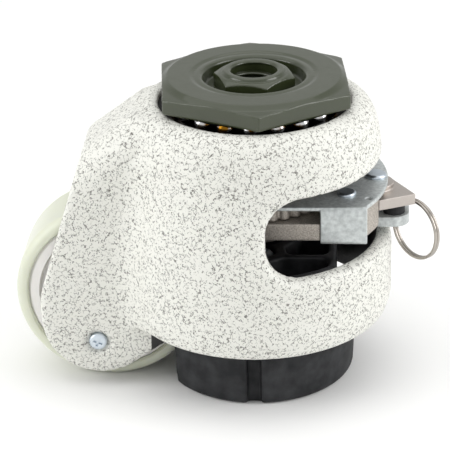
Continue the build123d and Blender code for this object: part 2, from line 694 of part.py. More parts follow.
def race_balls():
    """Full ball set of the swivel race."""
    return around(Pos(RACE_R, 0, RACE_BALL_Z) * Sphere(RACE_BALL_R - BALL_FIT), RACE_BALLS)


def kingpin():
    """Hexagon-headed hollow kingpin with the tapped stem socket."""
    corner = corner_r(HEAD_AF) + 1
    head = prism(hexagon(HEAD_AF, PLATE_TURN - 90 + HEAD_TURN), WELL_FLOOR_Z, HEAD_Z)
    head &= turned([(0, WELL_FLOOR_Z), (corner, WELL_FLOOR_Z), (corner, HEAD_Z - HEAD_BEVEL),
                    (COLLAR_R + HEAD_STEP, HEAD_Z), (0, HEAD_Z)])
    collar = disc(COLLAR_R, HEAD_Z, TOP_Z)
    collar = fillet(collar.edges().sort_by(Axis.Z)[-1], COLLAR_ROUND)
    body = head + collar + disc(KINGPIN_R, LOCK_NUT_Z0, WELL_FLOOR_Z)
    body -= disc(STEM_THREAD_R, TOP_Z - STEM_THREAD_DEPTH, FAR)
    sink = TOP_Z - STEM_MOUTH
    return body - turned([(0, sink), (STEM_THREAD_R, sink),
                          (STEM_THREAD_R + 2 * STEM_MOUTH, TOP_Z + STEM_MOUTH), (0, TOP_Z + STEM_MOUTH)])


def thrust_washer():
    """Hardened washer under the housing's web."""
    return ring(THRUST_R, KINGPIN_R, THRUST_Z0 + RUN_GAP, CEILING_Z - RUN_GAP)


def lock_nut():
    """Hexagon nut that keeps the kingpin in the housing."""
    return prism(hexagon(LOCK_NUT_AF), LOCK_NUT_Z0, THRUST_Z0 + RUN_GAP) - hole(KINGPIN_R)


# ---------------------------------------------------------------- jack
def spindle():
    """Fixed jack screw with a flanged cup that clears the lock nut."""
    body = disc(FLANGE_R, FLANGE_Z0, CEILING_Z) + disc(CUP_R, CUP_Z0, CEILING_Z)
    body -= disc(CUP_R - CUP_WALL, CUP_Z0 + CUP_FLOOR_T, FAR)
    body += disc(SPINDLE_R, SPINDLE_Z0, CUP_Z0 + CUP_FLOOR_T)
    body = chamfer(body.edges().filter_by(GeomType.CIRCLE).sort_by(Axis.Z)[0], SPINDLE_BEVEL)
    for x, y in flange_screw_places():
        body -= Pos(x, y, 0) * countersunk()
    return body


def countersunk():
    """Flange screw's outer form, with its flush head below."""
    neck, end = FLANGE_Z0 + FLANGE_SCREW_HEAD_R - FLANGE_SCREW_R, FLANGE_Z0 + FLANGE_SCREW_LENGTH
    return turned([(0, FLANGE_Z0), (FLANGE_SCREW_HEAD_R, FLANGE_Z0), (FLANGE_SCREW_R, neck),
                   (FLANGE_SCREW_R, end), (0, end)])


def flange_screws():
    """Four countersunk screws that hold the spindle to the web."""
    screw = countersunk() - disc(FLANGE_SOCKET, FLANGE_Z0 - 1, FLANGE_Z0 + FLANGE_SOCKET)
    return [Pos(x, y, 0) * screw for x, y in flange_screw_places()]


def ratchet_nut():
    """Jack nut with its lobed ratchet rim."""
    lobe = Pos(GEAR_R - LOBE_R, 0) * Circle(LOBE_R)
    rim = Circle(GEAR_ROOT_R) + around(lobe, GEAR_LOBES, 180 / GEAR_LOBES)
    body = prism(rim, GEAR_Z0, GEAR_Z1)
    body += disc(HUB_R, NUT_STEP_Z, GEAR_Z0) + disc(TAIL_R, TAIL_Z, NUT_STEP_Z)
    body -= hole(SPINDLE_R + RUN_GAP)
    for radius, z in ((HUB_R, CLIP_Z), (TAIL_R, TAIL_CLIP_Z)):
        body -= ring(radius + 1, radius - CLIP_GROOVE, z, z + CLIP_T + 2 * RUN_GAP)
    return body


def snap_ring(shaft_r, z0):
    """Open retaining ring in its groove on a shaft."""
    r_in, r_out = shaft_r - CLIP_GROOVE + RUN_GAP, shaft_r + CLIP_W
    clip = ring(r_out, r_in, z0 + RUN_GAP, z0 + RUN_GAP + CLIP_T)
    return clip - block(0, FAR, -r_in / 4, r_in / 4, z0 - 1, z0 + CLIP_T + 1)


def thrust_ring():
    """Hardened ring between the nut's shoulder and the foot."""
    return ring(HUB_R - 2 * RUN_GAP, TAIL_R + RUN_GAP, FOOT_TOP_Z, NUT_STEP_Z - RUN_GAP)


# ---------------------------------------------------------------- lever
def lever_plan(arc_r, hole_r):
    """Lever outline: a round eye that widens into a square arm with an arc end."""
    arm = Pos(arc_r / 2, 0) * Rectangle(arc_r, 2 * LEVER_HALF_W) & Circle(arc_r)
    return Circle(LEVER_HALF_W) + arm - Circle(hole_r)


def both_sides(x0, x1, y0, z0, z1):
    """Two blocks outside the planes Y = y0 and Y = -y0."""
    side = block(x0, x1, y0, FAR, z0, z1)
    return side + mirrored(side)


def lever_body():
    """Sintered lever body with the pawl chamber at its outer end."""
    body = prism(lever_plan(LEVER_ARC_R, HUB_R + RUN_GAP), LEVER_Z0, LEVER_Z1)
    walls = prism(lever_plan(LEVER_ARC_R, GEAR_R + GEAR_CLEAR), LEVER_Z1, COVER_Z0)
    body += walls & both_sides(WRAP_X0 + COVER_T, FAR, PAWL_HALF_W, LEVER_Z1, COVER_Z0)
    body -= disc(PAWL_HALF_W - RUN_GAP, SELECTOR_Z0 - SELECTOR_GAP, COVER_Z0, PIVOT_X)
    body -= block(PIVOT_X + SLOT_BACK, FAR, -PAWL_HALF_W, PAWL_HALF_W, LEVER_Z0 - 1, COVER_Z0)
    body -= both_sides(WRAP_X0 - RUN_GAP, WRAP_X1 + RUN_GAP, LEVER_HALF_W - WRAP_SEAT, WRAP_Z0, COVER_Z1)
    for y in (-RIVET_Y, RIVET_Y):
        body -= hole(RIVET_R, RIVET_X, y)
    return body - hole(PIVOT_R, PIVOT_X)


def lever_cover():
    """Zinc-plated cover folded down over both sides of the lever body."""
    cover = prism(lever_plan(LEVER_ARC_R + COVER_LAP, COVER_HOLE_R), COVER_Z0, COVER_Z1) + cover_wrap()
    for y in (-RIVET_Y, RIVET_Y):
        cover -= hole(RIVET_R, RIVET_X, y)
    for y in (RELIEF_IN - LEVER_HALF_W, LEVER_HALF_W - RELIEF_IN):
        cover -= disc(RELIEF_R, COVER_Z0 - 1, FAR, WRAP_X1 + RELIEF_R / 2, y)
    return cover - hole(PIVOT_R, PIVOT_X)


def cover_wrap():
    """Folded sleeve of the cover, round both sides of the body."""
    inner = LEVER_HALF_W - WRAP_SEAT
    middle = (COVER_Z1 + WRAP_Z0) / 2
    section = Rectangle(2 * (inner + COVER_T), COVER_Z1 - WRAP_Z0)
    section = fillet(section.vertices(), WRAP_BEND)
    section -= Pos(0, (COVER_Z0 + LEVER_Z0) / 2 - middle) * Rectangle(2 * inner, COVER_Z0 - LEVER_Z0)
    section -= Pos(0, WRAP_Z0 - middle) * Rectangle(2 * (inner - WRAP_LIP), 3 * WRAP_DROP)
    plane = Plane(origin=(WRAP_X0, 0, middle), x_dir=(0, 1, 0), z_dir=(1, 0, 0))
    return extrude(plane * section, amount=WRAP_LENGTH)


def cover_rivets():
    """Two rivets that clamp the cover to the lever body."""
    rivet = disc(RIVET_R, LEVER_Z0, COVER_Z1) + dome_head(RIVET_HEAD_R)
    return [Pos(RIVET_X, y, 0) * rivet for y in (-RIVET_Y, RIVET_Y)]


def dome_head(radius):
    """Low round rivet head on the lever's cover."""
    head = disc(radius, COVER_Z1, COVER_Z1 + RIVET_HEAD_H)
    return fillet(head.edges().sort_by(Axis.Z)[-1], RIVET_HEAD_ROUND)


def pivot_rivet():
    """Rivet that carries the selector and clamps the ring lug."""
    return Pos(PIVOT_X, 0, 0) * (disc(PIVOT_R, LUG_Z1 - LUG_T, COVER_Z1) + dome_head(PIVOT_HEAD_R))


def ring_lug():
    """Pressed lug with a turned-down edge and the ring's eye."""
    lug = prism(lug_plan(0), LUG_Z0, LUG_Z1) - prism(lug_plan(LUG_T), LUG_Z0 - 1, LUG_Z1 - LUG_T)
    lug -= block(0, PIVOT_X + SLOT_BACK, -FAR, FAR, LUG_Z0 - 1, LUG_Z1 - LUG_T)
    return lug - hole(EYE_R, EYE_X, EYE_Y) - hole(PIVOT_R, PIVOT_X)


def lug_plan(inset):
    """Lug outline with a rounded outer end, drawn in by a wall."""
    width = LUG_Y1 - LUG_Y0 - 2 * inset
    length = LUG_X1 - LUG_X0 - inset
    shape = Pos(LUG_X0 + length / 2, (LUG_Y0 + LUG_Y1) / 2) * Rectangle(length, width)
    return fillet(shape.vertices().sort_by(Axis.X)[-2:], LUG_CORNER - inset)


def lug_bumper():
    """Rubber button between the lug and the selector."""
    return disc(BUMPER_R, LUG_Z1, SELECTOR_Z0 - BUMPER_GAP, BUMPER_X, BUMPER_Y)


def selector():
    """Rocking pawl with two noses and a thumb wedge."""
    fingers = Circle(PIVOT_BOSS_R)
    for side in (-1, 1):
        a = radians(180 - side * NOSE_ANGLE)
        nose = Pos(NOSE_ARM * cos(a), NOSE_ARM * sin(a)) * Circle(NOSE_R)
        root = Pos(FINGER_ROOT * cos(a), FINGER_ROOT * sin(a)) * Circle(FINGER_R)
        fingers += make_hull(nose.edges() + root.edges())
        fingers += make_hull(root.edges() + Circle(PIVOT_BOSS_R).edges())
    pawl = prism(fingers, GEAR_Z0, GEAR_Z1) + prism(Polygon(*THUMB, align=None), SELECTOR_Z0, SELECTOR_Z1)
    return Pos(PIVOT_X, 0, 0) * (pawl - hole(PIVOT_R + RUN_GAP))


def pull_ring():
    """Split ring of two close turns, hanging in the lug's eye."""
    lay = RING_LAY * RING_WIRE_R
    turns = Pos(RING_R, -lay) * Circle(RING_WIRE_R) + Pos(RING_R, lay) * Circle(RING_WIRE_R)
    loop = revolve(turns, Axis.Y)
    return Pos(EYE_X, EYE_Y, RING_Z) * Rot(0, 0, RING_TURN) * Pos(RING_REACH, 0, 0) * loop


# ---------------------------------------------------------------- foot
def foot_body():
    """Die-cast foot body, cored from above, with ribs, bosses and a nut chamber."""
    upper = Circle(FOOT_BODY_R) & Rectangle(2 * FOOT_FLAT_X, 2 * FOOT_BODY_R)
    upper = prism(upper, SOLE_TOP_Z, FOOT_TOP_Z)
    upper = chamfer(upper.faces().sort_by(Axis.Z)[-1].edges(), FOOT_BEVEL)
    body = disc(FOOT_CORE_R, FOOT_FLOOR_Z, SOLE_TOP_Z) + upper - notch_cut()
    for pocket in foot_pockets():
        body -= pocket
    body -= disc(FOOT_CHAMBER_R, FOOT_FLOOR_Z - 1, FOOT_COLLAR_Z)
    body -= hole(TAIL_R + RUN_GAP)
    for x, y in boss_places():
        body -= disc(FOOT_SCREW_HEAD_R + COUNTERBORE_GAP, BOSS_SEAT_Z, FAR, x, y)
        body -= hole(FOOT_SCREW_R, x, y)
    return body - groove_cut()


def foot_pockets():
    """Cored pockets between the foot's hub, bosses, ribs and rim."""
    plan = Circle(FOOT_BODY_R - FOOT_WALL) & Rectangle(2 * (FOOT_FLAT_X - FOOT_WALL), 2 * FOOT_BODY_R)
    plan -= Circle(FOOT_HUB_R)
    plan -= [Pos(x, y) * Circle(BOSS_R) for x, y in boss_places()]
    plan -= [Pos(0, y) * Rectangle(FAR, FOOT_RIB) for y in (-FOOT_RIB_Y, FOOT_RIB_Y)]
    plan -= Pos(FAR / 2, 0) * Rectangle(FAR, FOOT_RIB)
    plan -= Pos(NOTCH_X + FOOT_WALL - FAR / 2, 0) * Rectangle(FAR, 2 * (NOTCH_HALF_W + FOOT_WALL))
    guide = GROOVE_R - FOOT_WALL + FAR / 2
    plan -= [Pos(0, y) * Rectangle(GROOVE_W + 2 * FOOT_WALL, FAR) for y in (-guide, guide)]
    pockets = []
    for face in plan.faces():
        if face.area > FOOT_POCKET_MIN:
            pocket = prism(face, POCKET_Z, FOOT_TOP_Z + 1)
            pockets.append(fillet(pocket.edges().filter_by(Axis.Z), FOOT_POCKET_CORNER))
    return pockets


def boss_places():
    """Plan places of the two sole screws."""
    return [(BOSS_X, -BOSS_Y), (BOSS_X, BOSS_Y)]


def notch_cut(gap=0.0):
    """Clearance for the wheel through the whole foot, set back by a gap."""
    return block(-FAR, NOTCH_X + gap, -NOTCH_HALF_W, NOTCH_HALF_W, -FAR, FAR)


def groove_cut():
    """Two upright guide grooves in the foot's sides."""
    groove = block(-GROOVE_W / 2, GROOVE_W / 2, GROOVE_R, FAR, -FAR, FAR)
    return groove + mirrored(groove)


def foot_sole():
    """Moulded rubber sole, drafted, with a round lower edge."""
    sole = turned([(0, 0), (SOLE_R0, 0), (SOLE_R1, SOLE_TOP_Z), (0, SOLE_TOP_Z)])
    sole = fillet(sole.edges().sort_by(Axis.Z)[0], SOLE_ROUND)
    sole -= notch_cut(-SOLE_NOTCH)
    sole -= groove_cut()
    plate_seat = disc(SOLE_PLATE_R, FOOT_FLOOR_Z - SOLE_PLATE_T, FOOT_FLOOR_Z) - notch_cut()
    body_seat = disc(FOOT_CORE_R, FOOT_FLOOR_Z, SOLE_TOP_Z + 1) - notch_cut()
    return sole - plate_seat - body_seat


def sole_plate():
    """Steel plate inside the sole that the screws draw up."""
    plate = disc(SOLE_PLATE_R, FOOT_FLOOR_Z - SOLE_PLATE_T, FOOT_FLOOR_Z) - notch_cut()
    for x, y in boss_places():
        plate -= hole(FOOT_SCREW_R, x, y)
    return plate


def sole_screws():
    """Two pan head screws down through the bosses."""
    top = BOSS_SEAT_Z + FOOT_SCREW_HEAD_H
    screw = disc(FOOT_SCREW_HEAD_R, BOSS_SEAT_Z, top)
    screw += disc(FOOT_SCREW_R, FOOT_FLOOR_Z - SOLE_PLATE_T, BOSS_SEAT_Z)
    screw = fillet(screw.edges().sort_by(Axis.Z)[-1], FOOT_SCREW_ROUND)
    screw -= Pos(0, 0, top) * Rot(0, 0, 30) * cross_recess(FOOT_SCREW_RECESS)
    return [Pos(x, y, 0) * screw for x, y in boss_places()]


# ---------------------------------------------------------------- assembly
def parts():
    """Every piece of the castor by name."""
    pieces = {
        "hex_plate": hex_plate(),
        "kingpin": kingpin(),
        "upper_race": upper_race(),
        "thrust_washer": thrust_washer(),
        "lock_nut": lock_nut(),
        "housing": housing(),
        "lower_race": lower_race(),
        "race_balls": race_balls(),
        "jack_spindle": spindle(),
        "flange_screws": flange_screws(),
        "axle": axle(),
        "wheel_core": wheel_core(),
        "wheel_tread": wheel_tread(),
        "bearing_balls": bearing_balls(),
        "ratchet_nut": ratchet_nut(),
        "nut_clip": snap_ring(TAIL_R, TAIL_CLIP_Z),
        "lever_clip": snap_ring(HUB_R, CLIP_Z),
        "thrust_ring": thrust_ring(),
        "lever_body": lever_body(),
        "lever_cover": lever_cover(),
        "cover_rivets": cover_rivets(),
        "pivot_rivet": pivot_rivet(),
        "ring_lug": ring_lug(),
        "lug_bumper": lug_bumper(),
        "selector": selector(),
        "pull_ring": pull_ring(),
        "foot_body": foot_body(),
        "foot_sole": foot_sole(),
        "sole_plate": sole_plate(),
        "sole_screws": sole_screws(),
    }
    near_side = {
        "axle_keeper": axle_keeper(),
        "axle_spacer": axle_spacer(),
        "bearing_outer": bearing_outer(),
        "bearing_inner": bearing_inner(),
    }
    for name, piece in near_side.items():
        pieces[name + "_near"] = piece
        pieces[name + "_far"] = mirrored(piece)
    screw = keeper_screw()
    pieces["keeper_screws"] = [screw, mirrored(screw)]
    return pieces


def main():
    os.makedirs("parts", exist_ok=True)
    for name, piece in parts().items():
        shape = Compound(children=list(piece)) if isinstance(piece, list) else piece
        export_step(shape, "parts/" + name + ".step")


if __name__ == "__main__":
    main()
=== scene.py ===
"""Levelling castor: finishes, worn edges, threads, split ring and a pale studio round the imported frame."""
import json
import math

import bmesh
import bpy
from mathutils import Matrix, Vector

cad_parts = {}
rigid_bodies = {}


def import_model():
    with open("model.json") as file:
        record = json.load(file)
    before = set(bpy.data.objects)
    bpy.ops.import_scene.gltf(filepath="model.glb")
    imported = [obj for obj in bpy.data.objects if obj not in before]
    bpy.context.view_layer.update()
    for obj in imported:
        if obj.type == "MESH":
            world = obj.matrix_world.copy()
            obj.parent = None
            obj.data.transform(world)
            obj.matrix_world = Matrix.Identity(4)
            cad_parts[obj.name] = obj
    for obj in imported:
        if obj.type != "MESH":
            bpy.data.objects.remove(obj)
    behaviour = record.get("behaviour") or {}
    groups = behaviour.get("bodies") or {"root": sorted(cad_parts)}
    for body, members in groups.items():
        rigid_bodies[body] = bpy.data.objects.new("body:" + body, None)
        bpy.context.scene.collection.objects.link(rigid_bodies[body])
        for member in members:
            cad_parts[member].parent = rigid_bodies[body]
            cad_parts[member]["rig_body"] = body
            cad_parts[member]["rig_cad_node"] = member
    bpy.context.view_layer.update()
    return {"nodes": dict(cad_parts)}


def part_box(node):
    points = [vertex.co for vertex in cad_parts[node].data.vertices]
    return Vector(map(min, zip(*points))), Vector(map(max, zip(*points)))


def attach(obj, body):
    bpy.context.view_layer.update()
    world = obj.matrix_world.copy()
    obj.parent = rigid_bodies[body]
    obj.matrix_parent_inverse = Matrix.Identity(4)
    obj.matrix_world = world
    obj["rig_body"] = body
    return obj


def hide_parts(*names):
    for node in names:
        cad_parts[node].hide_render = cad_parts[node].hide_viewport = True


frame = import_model()
NODES = frame["nodes"]
MM = 0.001
VEINS = ((1.6, 0.51), (1.0, 0.56))    # coarse and fine veins: spacing in mm, and how broken they are
DRUM_SHADE_RADIUS = 40.9 * MM               # within this distance of the drum's axis the coat gives way to near-black painted shade
DRUM_SHADE_CEILING = 85.5 * MM              # and under this height
DRUM_SHADE_FADE = 0.1 * MM
COLLAR_HEIGHT = 1.15 * MM             # collar on the kingpin's head, over the tapped hole
WELL_RIM = (16.6 * MM, 19.0 * MM)     # radii between which the plate's well has its soft rim
RIM_BAND = (0.1 * MM, 2.6 * MM)       # and how far that rim lies under the plate's top
LOWER_EDGE_GAIN = 2.2                 # the rim's lower edge is lifted this much more than its upper
AIM = (0.0, 0.0, 0.05)                # where the soft boxes point

bl_info = {
    "name": "Levelling castor",
    "version": (1, 0, 0),
    "blender": (4, 5, 0),
    "location": "View3D > Sidebar > Castor",
    "description": "Dresses the packed levelling castor and stands it in a pale studio",
    "category": "Object",
}


# ---------------------------------------------------------------- settings
def length(name, default, description):
    """A length setting in metres, shown in the scene's units."""
    return bpy.props.FloatProperty(name=name, description=description, default=default,
                                   min=0.0, precision=5, subtype="DISTANCE", unit="LENGTH")


def angle(name, degrees, description):
    """An angle setting, written in degrees."""
    return bpy.props.FloatProperty(name=name, description=description, default=math.radians(degrees),
                                   subtype="ANGLE", unit="ROTATION")


def strength(name, default, description):
    """A light's setting, never negative."""
    return bpy.props.FloatProperty(name=name, description=description, default=default, min=0.0)


def shade(name, code, description):
    """A colour setting from an sRGB hex value."""
    return bpy.props.FloatVectorProperty(name=name, description=description, size=3, min=0.0, max=1.0,
                                         default=linear(code), subtype="COLOR")


def linear(code):
    """sRGB hex to a linear RGB tuple."""
    channels = [int(code[i:i + 2], 16) / 255 for i in (1, 3, 5)]
    return tuple(c / 12.92 if c <= 0.04045 else ((c + 0.055) / 1.055) ** 2.4 for c in channels)


def opaque(colour):
    """A colour setting as the RGBA that a node's socket takes."""
    return tuple(colour) + (1.0,)


class CastorColours(bpy.types.PropertyGroup):
    coat: shade("Coat", "#E6E6DF", "Powder coat between the veins")
    vein: shade("Vein", "#45413A", "Dark veins of the powder coat")
    # Near-black painted shade that stands in for the coat inside the drum
    drum_shade: shade("Drum shade", "#1B1A19", "Painted shade inside the drum")
    enamel: shade("Enamel", "#2F361E", "Baked enamel of the top plate and kingpin")
    tread: shade("Tread", "#D6D9C8", "Cast elastomer tread")
    core: shade("Core", "#F4F2EF", "Moulded wheel core")
    rubber: shade("Rubber", "#1D1E20", "Sole and bumper rubber")
    casting: shade("Foot casting", "#1A1A1C", "Black painted foot casting")
    zinc: shade("Zinc", "#D5DAD9", "Zinc plated sheet")
    sinter: shade("Sintered steel", "#C4BDB4", "Pressed and sintered steel")
    satin: shade("Satin nickel", "#BDB6B0", "Satin nickel plate on the selector")
    steel: shade("Bright steel", "#C9CACB", "Ground steel")
    grease: shade("Grease", "#7A5516", "Amber grease in the swivel race")
    nickel: shade("Nickel", "#B3ADA6", "Nickel plated wire")
    screw: shade("Screw zinc", "#CED7DF", "Bright bluish zinc on the screws and rivets")
    bloom: shade("Bloom", "#8A8B8E", "Pale bloom on the black pieces")
    spangle: shade("Spangle", "#B4B9B9", "Darker spangle of the zinc plated sheet")
    pores: shade("Pores", "#9A938B", "Open pores of the sintered steel")
    black: shade("Black oxide", "#161616", "Black oxide on rings and washers")


class CastorForms(bpy.types.PropertyGroup):
    casting_grain: length("Casting mesh", 0.9 * MM, "Mesh size of the cast housing's skin")
    foot_grain: length("Foot mesh", 0.65 * MM, "Mesh size of the foot casting and its sole")
    plate_grain: length("Plate mesh", 0.34 * MM, "Mesh size of the top plate")
    small_grain: length("Fitting mesh", 0.3 * MM, "Mesh size of the small metal pieces")
    ring_wire: length("Ring wire", 0.56 * MM, "Radius of the split ring's wire")
    ring_radius: length("Ring radius", 10.2 * MM, "From the ring's centre to its wire")
    ring_turns: bpy.props.FloatProperty(name="Ring turns", description="Turns of wire in the split ring",
                                        default=1.93, min=1.2, max=3.0)
    ring_plane: angle("Ring plane", -48.0, "Direction of the ring's plane from above")
    ring_start: angle("Ring start", 155.0, "Where the ring's ends lie, from outside")
    stem_pitch: length("Stem pitch", 2.0 * MM, "Pitch of the tapped stem socket")
    stem_depth: length("Stem thread depth", 0.95 * MM, "Depth of the tapped stem socket's thread")
    stem_bore: length("Stem bore", 7.0 * MM, "Radius over the stem thread's crests")
    stem_reach: length("Stem reach", 17.5 * MM, "Length of the stem thread")
    stem_lead: length("Stem lead-in", 2.4 * MM, "Plain bore over the stem thread")
    well_rise: length("Well rim rise", 0.6 * MM, "Lift of the rounded rim round the plate's well")
    jack_pitch: length("Jack pitch", 4.0 * MM, "Pitch of the jack spindle's thread")
    jack_depth: length("Jack thread depth", 2.1 * MM, "Depth of the jack spindle's thread")
    jack_radius: length("Jack radius", 9.0 * MM, "Radius over the jack spindle's thread")
    jack_cup: length("Jack cup", 8.1 * MM, "From the spindle's top to its thread")


class CastorStudio(bpy.types.PropertyGroup):
    azimuth: angle("Azimuth", 3.69, "Camera's direction round the castor")
    elevation: angle("Elevation", 24.9, "Camera's height over the floor")
    roll: angle("Roll", -1.34, "Camera's turn about its own line of sight")
    distance: length("Distance", 0.700, "From the camera to its target")
    target: bpy.props.FloatVectorProperty(name="Target", description="Point in the middle of the view",
                                          default=(-0.01072, 0.0, 0.05159), subtype="XYZ", unit="LENGTH")
    lens: bpy.props.FloatProperty(name="Lens", description="Focal length in millimetres for a 36 mm sensor",
                                  default=164.18, min=20.0, max=400.0)
    backdrop: shade("Backdrop", "#F8F8F9", "Paper behind the castor")
    floor: shade("Floor", "#F7F7F6", "Paper under the castor")
    fill: strength("Fill", 0.62, "Strength of the all-round light")
    paper: strength("Paper", 0.62, "Brightness that shiny faces see behind")
    room: strength("Room", 0.95, "Brightness that shiny faces see in front")
    top: strength("Top light", 3.0, "Power of the overhead soft box in watts")
    side: strength("Side light", 3.0, "Power of the left soft box in watts; the right one has a fifth more")


# ---------------------------------------------------------------- nodes
def add(tree, kind, inputs=None, **settings):
    """Adds a node with its settings; an input takes a value or another node's output."""
    node = tree.nodes.new(kind)
    for name, value in settings.items():
        setattr(node, name, value)
    for socket, value in (inputs or {}).items():
        if isinstance(value, bpy.types.NodeSocket):
            tree.links.new(value, node.inputs[socket])
        else:
            node.inputs[socket].default_value = value
    return node


def per_mm(size):
    """Texture scale at which one cell of a pattern is this many millimetres."""
    return 1.0 / (size * MM)


def new_finish(name, colour, **sockets):
    """Finish with one Principled shader; returns it, its tree, the shader and the object coordinates."""
    material = bpy.data.materials.new(name)
    material.use_nodes = True
    tree = material.node_tree
    tree.nodes.clear()
    values = {key.replace("_", " "): value for key, value in sockets.items()}
    shader = add(tree, "ShaderNodeBsdfPrincipled", {"Base Color": opaque(colour), **values})
    add(tree, "ShaderNodeOutputMaterial", {"Surface": shader.outputs["BSDF"]})
    place = add(tree, "ShaderNodeTexCoord").outputs["Object"]
    return material, tree, shader, place


def coat_finish(colours):
    """Textured powder coat: short broken dark veins 0.15 mm wide and a soft peel; inside the drum, near-black
    painted shade instead of the coat.
    """
    material, tree, shader, place = new_finish("textured_powder_coat", colours.coat, Roughness=0.5)
    wander = add(tree, "ShaderNodeTexNoise", {"Vector": place, "Scale": per_mm(0.8), "Detail": 2.0})
    shift = add(tree, "ShaderNodeVectorMath", {0: wander.outputs["Color"], 1: (0.5, 0.5, 0.5)},
                operation="SUBTRACT")
    reach = add(tree, "ShaderNodeVectorMath", {0: shift.outputs[0], "Scale": 1.4 * MM}, operation="SCALE")
    bent = add(tree, "ShaderNodeVectorMath", {0: place, 1: reach.outputs[0]}, operation="ADD")
    coarse, fine = (broken_veins(tree, bent.outputs[0], cell, gap) for cell, gap in VEINS)
    mark = add(tree, "ShaderNodeMath", {0: coarse, 1: fine}, operation="MAXIMUM")
    soft = add(tree, "ShaderNodeMath", {0: mark.outputs[0], 1: 0.9}, operation="MULTIPLY")
    veined = add(tree, "ShaderNodeMix", {"Factor": soft.outputs[0], "A": opaque(colours.coat),
                                         "B": opaque(colours.vein)}, data_type="RGBA")
    # Painted shade: the drum's inside is coloured near black instead of coat
    inside = drum_shade_mask(tree, place)
    colour = add(tree, "ShaderNodeMix", {"Factor": inside, "A": veined.outputs["Result"],
                                         "B": opaque(colours.drum_shade)}, data_type="RGBA")
    tree.links.new(colour.outputs["Result"], shader.inputs["Base Color"])
    peel = add(tree, "ShaderNodeTexNoise", {"Vector": place, "Scale": per_mm(1.4), "Detail": 2.0})
    height = add(tree, "ShaderNodeMath", {0: peel.outputs["Fac"], 1: mark.outputs[0]}, operation="SUBTRACT")
    bump = add(tree, "ShaderNodeBump", {"Height": height.outputs[0], "Strength": 0.35,
                                        "Distance": 0.12 * MM})
    tree.links.new(bump.outputs["Normal"], shader.inputs["Normal"])
    return material


def broken_veins(tree, place, cell_mm, gap):
    """Mask of thin wandering lines at a spacing, broken into short pieces."""
    cells = add(tree, "ShaderNodeTexVoronoi", {"Vector": place, "Scale": per_mm(cell_mm)},
                feature="DISTANCE_TO_EDGE")
    line = add(tree, "ShaderNodeMapRange", {"Value": cells.outputs["Distance"], "From Min": 0.04 / cell_mm,
                                            "From Max": 0.11 / cell_mm, "To Min": 1.0, "To Max": 0.0})
    patch = add(tree, "ShaderNodeTexNoise", {"Vector": place, "Scale": per_mm(cell_mm * 0.8), "Detail": 1.0})
    keep = add(tree, "ShaderNodeMapRange", {"Value": patch.outputs["Fac"], "From Min": gap,
                                            "From Max": gap + 0.05})
    return add(tree, "ShaderNodeMath", {0: line.outputs["Result"], 1: keep.outputs["Result"]},
               operation="MULTIPLY").outputs[0]


def drum_shade_mask(tree, place):
    """Mask of the painted shade inside the drum: within its bore and under its ceiling."""
    flat = add(tree, "ShaderNodeVectorMath", {0: place, 1: (1.0, 1.0, 0.0)}, operation="MULTIPLY")
    radius = add(tree, "ShaderNodeVectorMath", {0: flat.outputs[0]}, operation="LENGTH")
    bore = add(tree, "ShaderNodeMapRange", {
        "Value": radius.outputs["Value"], "From Min": DRUM_SHADE_RADIUS - DRUM_SHADE_FADE,
        "From Max": DRUM_SHADE_RADIUS + DRUM_SHADE_FADE, "To Min": 1.0, "To Max": 0.0})
    height = add(tree, "ShaderNodeSeparateXYZ", {"Vector": place}).outputs["Z"]
    below = add(tree, "ShaderNodeMapRange", {
        "Value": height, "From Min": DRUM_SHADE_CEILING - DRUM_SHADE_FADE, "From Max": DRUM_SHADE_CEILING + DRUM_SHADE_FADE,
        "To Min": 1.0, "To Max": 0.0})
    return add(tree, "ShaderNodeMath", {0: bore.outputs["Result"], 1: below.outputs["Result"]},
               operation="MULTIPLY").outputs[0]


def enamel_finish(colours):
    """Semi-gloss baked enamel, dipped: clear reflections with a faint ripple."""
    material, tree, shader, place = new_finish("baked_olive_enamel", colours.enamel, Roughness=0.3,
                                               Coat_Weight=0.5, Coat_Roughness=0.08)
    ripple = add(tree, "ShaderNodeTexNoise", {"Vector": place, "Scale": per_mm(2.2), "Detail": 3.0})
    bump = add(tree, "ShaderNodeBump", {"Height": ripple.outputs["Fac"], "Strength": 0.25,
                                        "Distance": 0.06 * MM})
    tree.links.new(bump.outputs["Normal"], shader.inputs["Normal"])
    dust = add(tree, "ShaderNodeTexNoise", {"Vector": place, "Scale": per_mm(3.0), "Detail": 4.0})
    worn = add(tree, "ShaderNodeMapRange", {"Value": dust.outputs["Fac"], "To Min": 0.24, "To Max": 0.4})
    tree.links.new(worn.outputs["Result"], shader.inputs["Roughness"])
    return material


def polymer_finish(name, colour, roughness, depth, peel):
    """Moulded or cast polymer: light goes a little way in, and the surface has a fine even grain."""
    material, tree, shader, place = new_finish(name, colour, Roughness=roughness, Subsurface_Weight=depth,
                                               Subsurface_Radius=(1.0, 1.0, 0.7), Subsurface_Scale=2.5 * MM)
    grain = add(tree, "ShaderNodeTexNoise", {"Vector": place, "Scale": per_mm(0.8), "Detail": 3.0})
    bump = add(tree, "ShaderNodeBump", {"Height": grain.outputs["Fac"], "Strength": peel,
                                        "Distance": 0.05 * MM})
    tree.links.new(bump.outputs["Normal"], shader.inputs["Normal"])
    return material


